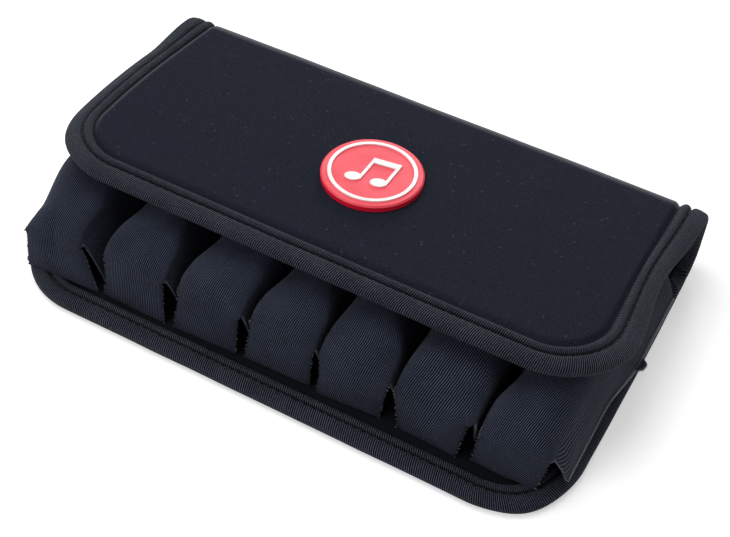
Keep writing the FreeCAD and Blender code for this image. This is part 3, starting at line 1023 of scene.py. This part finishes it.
def make_threads(name, spots, material, **settings):
    """Plain mesh of threads at spots, each (place, heading, facing)."""
    mesh = bpy.data.meshes.new(name)
    mesh.from_pydata([tuple(place) for place, heading, facing in spots], [], [])
    for title, pick in (("heading", 1), ("facing", 2)):
        attribute = mesh.attributes.new(title, "FLOAT_VECTOR", "POINT")
        attribute.data.foreach_set("vector", [v for spot in spots for v in spot[pick]])
    piece = add_object(name, mesh)
    modifier = piece.modifiers.new("threads", "NODES")
    modifier.node_group = THREADS
    settings["Material"] = material
    for item in THREADS.interface.items_tree:
        if item.in_out == "INPUT" and item.name in settings:
            modifier[item.identifier] = settings[item.name]
    baked(piece)
    for polygon in piece.data.polygons:
        polygon.use_smooth = True
    print(name, len(spots), "threads", len(piece.data.polygons), "faces")
    return piece


# %% [markdown]
# The cloth is nearly black, so its look is all in what little light it returns: a faint blue in
# the knit, a soft sheen at grazing angles, and ribs fine enough to shimmer. Ribs and weave read
# the UV in metres, so they follow the tape round its corners and the elastic over its turns.
# Clouds and grain read Object coordinates. Colours are written as 8-bit screen colours.

# %% Material helper
def linear(value):
    """Linear light of one 8-bit screen value."""
    value /= 255
    return value / 12.92 if value <= 0.04045 else ((value + 0.055) / 1.055) ** 2.4


class Finish(Graph):
    """A node material and the patterns that the finishes below share."""

    def __init__(self, name, roughness, specular, sheen=0.0, sheen_roughness=0.5):
        self.material = bpy.data.materials.new(name)
        self.material.use_nodes = True
        super().__init__(self.material.node_tree)
        self.shader = self.tree.nodes["Principled BSDF"]
        self.fill(self.shader, {
            "Roughness": roughness, "Specular IOR Level": specular, "Sheen Weight": sheen,
            "Sheen Roughness": sheen_roughness,
        })

    def split(self, vector):
        return self.node("ShaderNodeSeparateXYZ", {0: vector}).outputs

    def uv(self):
        """The two cloth coordinates in metres."""
        return self.split(self.node("ShaderNodeUVMap", uv_map="cloth").outputs[0])[:2]

    def mark(self):
        """The number kept on each point, from 0 to 1."""
        return self.node("ShaderNodeAttribute", attribute_name="mark").outputs["Fac"]

    def place(self):
        return self.node("ShaderNodeTexCoord").outputs["Object"]

    def noise(self, size, detail=3.0):
        """Noise from 0 to 1 whose blobs are about size metres wide."""
        return self.node("ShaderNodeTexNoise", {
            "Scale": 1 / size, "Detail": detail, "Vector": self.place(),
        }).outputs["Fac"]

    def stretch(self, value, low, high, new_low=0.0, new_high=1.0):
        """Maps low to new_low and high to new_high, and holds those values beyond them."""
        return self.node("ShaderNodeMapRange", {
            "Value": value, "From Min": low, "From Max": high, "To Min": new_low,
            "To Max": new_high,
        }).outputs[0]

    def ribs(self, distance, pitch, *shifts):
        """Waves from 0 to 1 along a distance in metres, moved by the shifts."""
        for shift in shifts:
            distance = self.math("ADD", distance, shift)
        turn = self.math("MULTIPLY", distance, 2 * math.pi / pitch)
        return self.stretch(self.math("SINE", turn), -1.0, 1.0)

    def mix(self, factor, first, second):
        """Colour between two others, each a socket or a screen colour."""
        inputs = {0: factor}
        for key, colour in ((6, first), (7, second)):
            if isinstance(colour, tuple):
                colour = (*(linear(value) for value in colour), 1.0)
            inputs[key] = colour
        return self.node("ShaderNodeMix", inputs, data_type="RGBA").outputs[2]

    def clouds(self, size, first, second):
        """Slow clouds and the tone that they blend between two colours."""
        cloud = self.noise(size, detail=4)
        return cloud, self.mix(self.stretch(cloud, 0.3, 0.7), first, second)

    def bump(self, height, depth, under=None):
        """Normal of a height from 0 to 1, depth metres deep, over another normal."""
        inputs = {"Strength": 1.0, "Distance": depth, "Height": height}
        if under is not None:
            inputs["Normal"] = under
        return self.node("ShaderNodeBump", inputs).outputs[0]

    def finish(self, colour, normal, roughness=None):
        self.fill(self.shader, {"Base Color": colour, "Normal": normal})
        if roughness is not None:
            self.fill(self.shader, {"Roughness": roughness})
        print(self.material.name, len(self.tree.nodes), "nodes")
        return self.material


# %% [markdown]
# Shell knit: a close, smooth knit bonded to foam. Seen from a hand away it is an even blue-black
# with faint clouds and a scatter of paler lint, and its stitches are a tiny grain. Where the lid
# bends over the back, a grey painted highlight lies along the fold. It reads the UV, which says how
# far along the sheet a point lies, so it stays on the crease when the lid opens. A paler grey is
# also painted in where the knit is seen at a grazing angle: painted sheen.

# %% Shell knit
LINT_SIZE = 4.6 * MM
FOLD_HIGHLIGHT_RISE = (U_UPPER + 3.0 * MM, U_UPPER + 6.0 * MM)
FOLD_HIGHLIGHT_FALL = (U_LID - 5.5 * MM, U_LID - 0.5 * MM)


def knit_material():
    f = Finish("shell_knit", roughness=0.85, specular=0.04, sheen=0.02, sheen_roughness=0.35)
    cloud, tone = f.clouds(18 * MM, (21, 24, 33), (27, 30, 40))
    grain = f.noise(0.55 * MM, detail=2)
    tone = f.mix(f.stretch(grain, 0.35, 0.75), tone, (37, 41, 52))
    lint = f.node("ShaderNodeTexVoronoi", {"Scale": 1 / LINT_SIZE, "Vector": f.place()})
    speck = f.stretch(lint.outputs["Distance"], 0.05, 0.12, 0.4, 0.0)
    tone = f.mix(speck, tone, (78, 82, 92))
    along = f.uv()[1]
    # Painted highlight: a grey strip along the lid's bend over the back, placed by the distance along
    # the sheet.
    crease = f.math("MULTIPLY", f.stretch(along, *FOLD_HIGHLIGHT_RISE), f.stretch(along, *FOLD_HIGHLIGHT_FALL, 1.0, 0.0))
    fold_highlight = f.math("MULTIPLY", crease, f.stretch(cloud, 0.2, 0.75, 0.25, 0.75))
    tone = f.mix(fold_highlight, tone, (110, 114, 118))
    # Painted sheen: paler grey where the knit is seen at a grazing angle.
    grazing_sheen = f.node("ShaderNodeLayerWeight").outputs["Facing"]
    tone = f.mix(f.stretch(grazing_sheen, 0.45, 0.95, 0.0, 0.35), tone, (120, 124, 128))
    normal = f.bump(grain, 0.10 * MM, f.bump(f.noise(9 * MM), 0.10 * MM))
    return f.finish(tone, normal, f.stretch(cloud, 0.3, 0.7, 0.76, 0.88))


SHELL_KNIT = knit_material()

# %% [markdown]
# Binding tape: a woven tape with ribs across it, one every 0.8 mm. The UV runs along the edge of
# the case, so the ribs fan out round the corners as they do when a real tape is eased round. Its
# two creases, kept on the points, get painted shade that is nearly black.

# %% Binding tape
TAPE_RIB = 0.8 * MM
TAPE_WEFT = 0.5 * MM


def tape_material():
    f = Finish("binding_tape", roughness=0.75, specular=0.06, sheen=0.05, sheen_roughness=0.4)
    along, across = f.uv()
    waver = f.math("MULTIPLY", f.noise(6 * MM), 0.5 * MM)
    rib = f.ribs(along, TAPE_RIB, f.math("MULTIPLY", across, 0.22), waver)
    weft = f.ribs(across, TAPE_WEFT)
    _, tone = f.clouds(12 * MM, (62, 68, 84), (84, 90, 108))
    fibre = f.noise(0.3 * MM, detail=2)
    tone = f.mix(f.stretch(fibre, 0.5, 0.7, 0.0, 0.6), tone, (134, 140, 154))
    tone = f.mix(f.math("POWER", rib, 4.0), (4, 5, 9), tone)
    # Painted shade: nearly black in the tape's two creases.
    tone = f.mix(f.stretch(f.mark(), 0.3, 1.0, 0.0, 0.92), tone, (3, 4, 6))
    return f.finish(tone, f.bump(weft, 0.03 * MM, f.bump(rib, 0.28 * MM)))


BINDING_TAPE = tape_material()

# %% [markdown]
# Pocket elastic: fine ribs that run along the pocket and down its tongue, crossed by a slanted
# weft. Raw cut edges show the pale rubber core and broken threads, so the number kept on each
# point mixes in a paler grey there. At the foot of the outer walls the full number paints a
# highlight along the hem.

# %% Pocket elastic
ELASTIC_RIB = 0.79 * MM
ELASTIC_WEFT = 0.52 * MM


def elastic_material():
    f = Finish("pocket_elastic", roughness=0.76, specular=0.06, sheen=0.04, sheen_roughness=0.45)
    across, along = f.uv()
    rib = f.ribs(across, ELASTIC_RIB, f.math("MULTIPLY", f.noise(9 * MM), 0.9 * MM))
    weft = f.ribs(along, ELASTIC_WEFT, f.math("MULTIPLY", across, 0.6))
    _, tone = f.clouds(14 * MM, (66, 74, 97), (92, 101, 127))
    fibre = f.noise(0.35 * MM, detail=2)
    tone = f.mix(f.stretch(fibre, 0.5, 0.7, 0.0, 0.55), tone, (128, 136, 154))
    tone = f.mix(f.math("POWER", weft, 2.0), f.mix(0.5, tone, (6, 8, 13)), tone)
    tone = f.mix(f.math("POWER", rib, 3.0), (5, 7, 12), tone)
    # Pale core on raw cut edges; at the full mark, a painted highlight along the outer walls' hem.
    core = f.stretch(f.mark(), 0.2, 1.0, 0.0, 0.9)
    tone = f.mix(f.math("MULTIPLY", core, f.stretch(fibre, 0.3, 0.6)), tone, (172, 174, 180))
    return f.finish(tone, f.bump(weft, 0.05 * MM, f.bump(rib, 0.17 * MM)))


POCKET_ELASTIC = elastic_material()

# %% [markdown]
# The rest are simpler. The lining is a fine matt knit. Thread is a little glossier than cloth.
# The hook strips are dark, dusty nylon. The badge is satin rubber whose top looks paler than its
# side, because it catches the light from above.

# %% Lining, thread, hooks and badge
LINING_WALE = 0.7 * MM
LINING_COURSE = 0.6 * MM


def lining_material():
    f = Finish("lining_knit", roughness=0.9, specular=0.04, sheen=0.02)
    along, across = f.uv()
    loops = f.math("MULTIPLY", f.ribs(along, LINING_WALE), f.ribs(across, LINING_COURSE))
    _, tone = f.clouds(20 * MM, (13, 15, 20), (19, 21, 27))
    tone = f.mix(f.math("MULTIPLY", loops, 0.5), tone, (27, 29, 35))
    return f.finish(tone, f.bump(loops, 0.08 * MM))


def thread_material(name, dark, pale, roughness):
    f = Finish(name, roughness=roughness, specular=0.3, sheen=0.2)
    ply = f.noise(0.5 * MM, detail=2)
    return f.finish(f.mix(f.stretch(ply, 0.35, 0.65), dark, pale), f.bump(ply, 0.05 * MM))


def hook_material():
    f = Finish("hook_nylon", roughness=0.5, specular=0.4)
    weave = f.noise(0.8 * MM, detail=2)
    dust = f.noise(7 * MM, detail=4)
    tone = f.mix(f.stretch(weave, 0.35, 0.65), (16, 16, 18), (30, 30, 33))
    tone = f.mix(f.stretch(dust, 0.55, 0.8, 0.0, 0.4), tone, (70, 70, 72))
    return f.finish(tone, f.bump(weave, 0.12 * MM), f.stretch(dust, 0.3, 0.7, 0.42, 0.6))


def rubber_material(name, colour, shade, side):
    f = Finish(name, roughness=0.42, specular=0.4)
    cloud, tone = f.clouds(8 * MM, shade, colour)
    facing = f.split(f.node("ShaderNodeTexCoord").outputs["Normal"])["Z"]
    tone = f.mix(f.stretch(facing, 0.55, 0.92), side, tone)
    normal = f.bump(f.noise(0.25 * MM, detail=2), 0.02 * MM, f.bump(cloud, 0.05 * MM))
    return f.finish(tone, normal, f.stretch(cloud, 0.3, 0.7, 0.36, 0.5))


LINING_KNIT = lining_material()
SEAM_THREAD = thread_material("seam_thread", (12, 12, 14), (30, 31, 35), 0.55)
FRAY_THREAD = thread_material("fray_thread", (46, 49, 56), (112, 114, 120), 0.6)
HOOK_NYLON = hook_material()
BADGE_RED = rubber_material("badge_red", (248, 92, 104), (240, 78, 92), (226, 16, 48))
BADGE_WHITE = rubber_material("badge_white", (252, 250, 250), (244, 240, 240), (236, 206, 206))

# %% [markdown]
# Seams. A line of stitches lies in the groove of the tape on both faces of the shell. The spots
# are found by walking along the edge path, so the stitches are evenly spaced round the corners
# too, and each one points at the next.

# %% Edge stitches
STITCH_PITCH = 3.3 * MM
STITCH_LENGTH = 2.3 * MM
STITCH_THREAD = 0.45 * MM
STITCH_ARCH = 0.28 * MM


def seam_spots(u_front, corner):
    """Stitches in the tape's groove, on the outer and the inner face."""
    path = edge_path(u_front, corner)
    spots = []
    wanted = STITCH_PITCH
    for (x, u, dx, du, run), ahead in zip(path, path[1:]):
        if run < wanted:
            continue
        wanted += STITCH_PITCH
        groove = between(GROOVES, u)
        here_at = (x + dx * groove, u + du * groove)
        next_at = (ahead[0] + ahead[2] * groove, ahead[1] + ahead[3] * groove)
        for w, inward in ((GROOVE_DEPTH, -1), (SHELL - GROOVE_DEPTH, 1)):
            here = fold(*here_at, w)
            heading = (fold(*next_at, w) - here).normalized()
            facing = (fold(*here_at, w + inward * MM) - here).normalized()
            spots.append((here - heading * STITCH_LENGTH / 2, heading, facing))
    return spots


seams = {}
for half_name, (u_front, corner) in HALVES.items():
    seams[half_name] = make_threads(
        "seam_" + half_name, seam_spots(u_front, corner), SEAM_THREAD, Length=STITCH_LENGTH,
        Thickness=STITCH_THREAD, Arch=STITCH_ARCH, Vary=0.06, Spread=0.03, Seed=3,
    )

# %% [markdown]
# Another line of stitches crosses the hem at the back of each pocket, and broken threads stand
# out of the raw edges in front. The hem is walked like the edge. The broken threads are scattered
# along both sides of each tongue and down the walls beside it, at random but from a fixed seed.

# %% Hem stitches and frayed edges
HEM_INSET = 0.9 * MM
HEM_PITCH = 0.8 * STITCH_PITCH
HEM_FIRST = 0.4 * STITCH_PITCH
HEM_THREAD = {"Length": 1.9 * MM, "Thickness": 0.4 * MM, "Arch": 0.25 * MM}
FRAY_GAP = 3.2 * MM
FRAY_LIFT = 0.5
FRAY = {"Length": 0.4 * MM, "Thickness": 0.14 * MM, "Arch": 0.1 * MM}
FRAY_FACING = Vector((0, -1, 0.2)).normalized()


def hem_spots(pocket):
    """Stitches across the hem, over the roof of one pocket."""
    spots = []
    y = POCKET_BACK_Y - HEM_WIDTH + HEM_INSET
    line = [pocket.roof_point(c, y) for c in range(pocket.columns)]
    run, wanted = 0.0, HEM_FIRST
    for a, b in zip(line, line[1:]):
        step = (b - a).length
        heading = (b - a).normalized()
        facing = heading.cross(Vector((0, 1, 0)))
        while run + step > wanted:
            here = a.lerp(b, (wanted - run) / step)
            spots.append((here, heading, -facing if facing.z < 0 else facing))
            wanted += HEM_PITCH
        run += step
    return spots


def cut_lines(pocket):
    """The raw edges with the way out of the cloth: the tongue's sides and the walls' fronts."""
    lines = []
    for side, column in ((-1, 0), (1, pocket.columns - 1)):
        tongue = [pocket.turn_point(column, r) for r in range(SLIT_ROW, TURN_ROWS + 1)]
        tongue += [pocket.tongue_point(column, r) for r in range(1, TONGUE_ROWS + 1)]
        lines.append((tongue, Vector((side, -0.25, 0)).normalized()))
        top = tongue[0]
        wall = [pocket.wall_point(side, top, step, True) for step in range(WALL_COLUMNS + 1)]
        lines.append((wall, Vector((0.1 * side, -1, 0)).normalized()))
    return lines


def raw_edge_spots(lines):
    """Broken threads along the cut edges of one pocket."""
    spots = []
    for line, out in lines:
        for a, b in zip(line, line[1:]):
            count = max(1, round((b - a).length / FRAY_GAP))
            for i in range(count):
                here = a.lerp(b, (i + random.random()) / count)
                lift = Vector((0, 0, random.uniform(-FRAY_LIFT, FRAY_LIFT)))
                spots.append((here, (out + lift).normalized(), FRAY_FACING))
    return spots


hems, frays = [], []
for pocket, sleeve in pockets:
    hems += hem_spots(pocket)
    frays += raw_edge_spots(cut_lines(pocket))
hem_seams = make_threads(
    "pocket_hem_seams", hems, SEAM_THREAD, Vary=0.06, Spread=0.03, Seed=5, **HEM_THREAD
)
pocket_frays = make_threads(
    "pocket_frays", frays, FRAY_THREAD, Vary=0.6, Spread=0.45, Seed=11, **FRAY
)

# %% [markdown]
# The hook strips are real CAD pieces. What a bare strip lacks is its field of hooks, several
# hundred bent hairs that stand on it, so the thread tree plants them in rows that lean to and fro.

# %% Hooks
HOOK_PITCH = 1.7 * MM
HOOK_MARGIN = 1.6 * MM
HOOK_HEIGHT = 0.35 * MM
HOOK = {"Length": 0.8 * MM, "Thickness": 0.22 * MM, "Arch": HOOK_HEIGHT}


def hook_spots(node):
    """Rows of hooks under one strip, which hang from the lid's underside."""
    low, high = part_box(node)
    slope = math.tan(LID_TILT)
    thickness = high.z - low.z - (high.y - low.y) * slope
    y_high = high.y - HOOK_MARGIN - thickness * math.sin(LID_TILT)
    spots = []
    for i, y in enumerate(steps_between(low.y + HOOK_MARGIN, y_high, HOOK_PITCH)):
        heading = LID_ALONG * (1 if i % 2 else -1)
        for x in steps_between(low.x + HOOK_MARGIN, high.x - HOOK_MARGIN, HOOK_PITCH):
            start = Vector((x, y, low.z + (high.y - y) * slope))
            spots.append((start - heading * HOOK_HEIGHT, heading, LID_INWARD))
    return spots


hooks = []
for side_name in ("left", "right"):
    hooks.append(make_threads(
        "hooks_" + side_name, hook_spots("hook_strip_" + side_name), HOOK_NYLON,
        Vary=0.1, Spread=0.12, Seed=2, **HOOK,
    ))

# %% [markdown]
# A scrap of the last pocket's selvedge pokes out beyond the base on the right: a ragged tab of
# the same elastic. It is a small grid that narrows, droops and ends in an uneven edge.

# %% Selvedge tab
TAB_X = HALF_WIDTH - 4.4 * MM
TAB_Y = (4.0 * MM, 13.0 * MM)
TAB_REACH = 6.6 * MM
TAB_RAGGED = 0.8 * MM
TAB_TAPER = 0.35
TAB_LIFT = 1.4 * MM
TAB_DROOP = 0.9 * MM
TAB_WAVE = 0.2 * MM
TAB_ROWS, TAB_COLUMNS = 7, 10


def make_tab():
    """Small ragged tongue of elastic that lies on the tape."""
    points, uvs, marks = [], [], []
    for r in range(TAB_ROWS):
        t = r / (TAB_ROWS - 1)
        for c in range(TAB_COLUMNS):
            s = c / (TAB_COLUMNS - 1)
            ragged = noise.noise(Vector((s * 5.3, 1.7, 0))) * TAB_RAGGED
            shape = math.sin(math.pi * (0.14 + 0.66 * s)) ** 0.5
            x = TAB_X + t * (TAB_REACH * shape + ragged)
            y = TAB_Y[0] + (TAB_Y[1] - TAB_Y[0]) * (0.5 + (s - 0.5) * (1 - TAB_TAPER * t))
            z = SHELL + TAB_LIFT - TAB_DROOP * t ** 2 + TAB_WAVE * math.sin(5 * s + 2 * t)
            points.append(Vector((x, y, z)))
            uvs.append((y, x))
            marks.append(1.0 if r == TAB_ROWS - 1 else 0.0)
    faces = [face[::-1] for face in strip_faces(TAB_ROWS, TAB_COLUMNS)]
    return thicken(build_mesh("selvedge_tab", points, faces, uvs, marks), ELASTIC)


tab = make_tab()
print("tab reaches x", round(max(v.co.x for v in tab.data.vertices), 4))

# %% [markdown]
# Dressing: each piece gets its material, and the CAD solids that it stands for are hidden. The
# pockets, their hem stitches and frayed threads, the tab and the hooks ride on the body that carries
# them. The halves of the shell, their linings, tapes and seams stay where they were built: the
# lower half reaches from base to spine, the upper half from spine to lid.

# %% Materials and bodies
CREASES = {
    "lower": ("base", "spine", (0, LOWER_Y, 0), (0, BACK_Y, LOWER_BEND)),
    "upper": ("spine", "lid", (0, BACK_Y, UPPER_Z), tuple(LID_START)),
}


def paint(piece, material):
    """One material all over."""
    piece.data.materials.clear()
    piece.data.materials.append(material)


for half_name, node_start in (("lower", "base"), ("upper", "lid")):
    body, next_body, start, end = CREASES[half_name]
    for piece, material, slot_name in (
        (shell[half_name], SHELL_KNIT, "shell_fabric"),
        (lining[half_name], LINING_KNIT, "lining_fabric"),
        (tapes[half_name], BINDING_TAPE, "binding_tape"),
        (seams[half_name], SEAM_THREAD, "binding_tape"),
    ):
        paint(piece, material)
        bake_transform(piece)
    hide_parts(node_start + "_panel", "spine_panel")
    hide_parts(node_start + "_lining", "spine_lining")
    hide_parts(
        node_start + "_binding", "spine_binding_left", "spine_binding_right"
    )

for index, (pocket, sleeve) in enumerate(pockets):
    paint(sleeve, POCKET_ELASTIC)
    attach(sleeve, "base")
    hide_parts("pocket_" + str(index + 1))

for piece, material, slot_name, body in (
    (hem_seams, SEAM_THREAD, "pocket_fabric", "base"),
    (pocket_frays, FRAY_THREAD, "pocket_fabric", "base"),
    (tab, POCKET_ELASTIC, "pocket_fabric", "base"),
    (hooks[0], HOOK_NYLON, "hook_tape", "lid"),
    (hooks[1], HOOK_NYLON, "hook_tape", "lid"),
):
    paint(piece, material)
    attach(piece, body)

for node_name, material in (
    ("hook_strip_left", HOOK_NYLON), ("hook_strip_right", HOOK_NYLON),
    ("badge_disc", BADGE_RED), ("badge_ring", BADGE_WHITE), ("badge_note", BADGE_WHITE),
):
    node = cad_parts[node_name]
    node.data.materials.clear()
    node.data.materials.append(material)
print("dressed", 3 * len(CREASES) + len(pockets), "sheets and pads")

# %% [markdown]
# The table is a wide white plane that keeps a soft shadow. What the camera sees of it and of the
# world is white, while the light on the case stays at a plain level. The Light Path node tells
# the two apart: the table and the world are brighter for rays that come straight from the camera
# or by way of a mirror or glass.

# %% Table and world
TABLE_SIZE = 6.0
TABLE_WHITE = (0.88, 0.88, 0.88, 1)
TABLE_LIFT = 0.4
WORLD_LEVEL = 0.4
WHITE = (1, 1, 1, 1)


def seen_or_reflected(graph):
    """1 for rays from the camera, from a mirror or through glass."""
    rays = graph.node("ShaderNodeLightPath").outputs
    total = rays["Is Camera Ray"]
    for title in ("Is Glossy Ray", "Is Transmission Ray"):
        total = graph.math("MAXIMUM", total, rays[title])
    return total


def make_table():
    mesh = bpy.data.meshes.new("table")
    r = TABLE_SIZE / 2
    mesh.from_pydata([(-r, -r, 0), (r, -r, 0), (r, r, 0), (-r, r, 0)], [], [(0, 1, 2, 3)])
    f = Finish("white_table", roughness=0.9, specular=0.1)
    f.fill(f.shader, {
        "Base Color": TABLE_WHITE, "Emission Color": WHITE,
        "Emission Strength": f.math("MULTIPLY", seen_or_reflected(f), TABLE_LIFT),
    })
    mesh.materials.append(f.material)
    add_object("table", mesh)


def make_world():
    world = bpy.data.worlds.new("studio")
    bpy.context.scene.world = world
    world.use_nodes = True
    g = Graph(world.node_tree)
    strength = g.node("ShaderNodeMapRange", {
        "Value": seen_or_reflected(g), "To Min": WORLD_LEVEL, "To Max": 1.0,
    })
    background = world.node_tree.nodes["Background"]
    g.fill(background, {"Color": WHITE, "Strength": strength.outputs[0]})


make_table()
make_world()
print("table", TABLE_SIZE, "m wide, world level", WORLD_LEVEL)

# %% [markdown]
# Three large round lamps light the case as evenly as a light tent would: one overhead, one over
# the front left for the pockets, and a low one behind that draws a pale line along the fold.

# %% Lamps
LAMPS = {
    "overhead": {"place": (-0.5, 0.25, 1.3), "target": (0, 0, 0), "size": 1.1, "power": 9.0},
    "front_left": {"place": (-0.8, -1.2, 0.9), "target": (0, 0, 0), "size": 0.9, "power": 8.0},
    "behind": {"place": (-0.3, 1.4, 0.3), "target": (0, 0.05, 0.03), "size": 0.6, "power": 9.0},
}


def make_lamp(name, place, target, size, power):
    data = bpy.data.lights.new(name, "AREA")
    data.shape = "DISK"
    data.size = size
    data.energy = power
    lamp = add_object(name, data)
    lamp.location = place
    lamp.rotation_mode = "QUATERNION"
    lamp.rotation_quaternion = (Vector(target) - Vector(place)).to_track_quat("-Z", "Y")


for name, values in LAMPS.items():
    make_lamp(name, **values)
bpy.context.scene.view_settings.view_transform = "Standard"
print(len(LAMPS), "lamps")
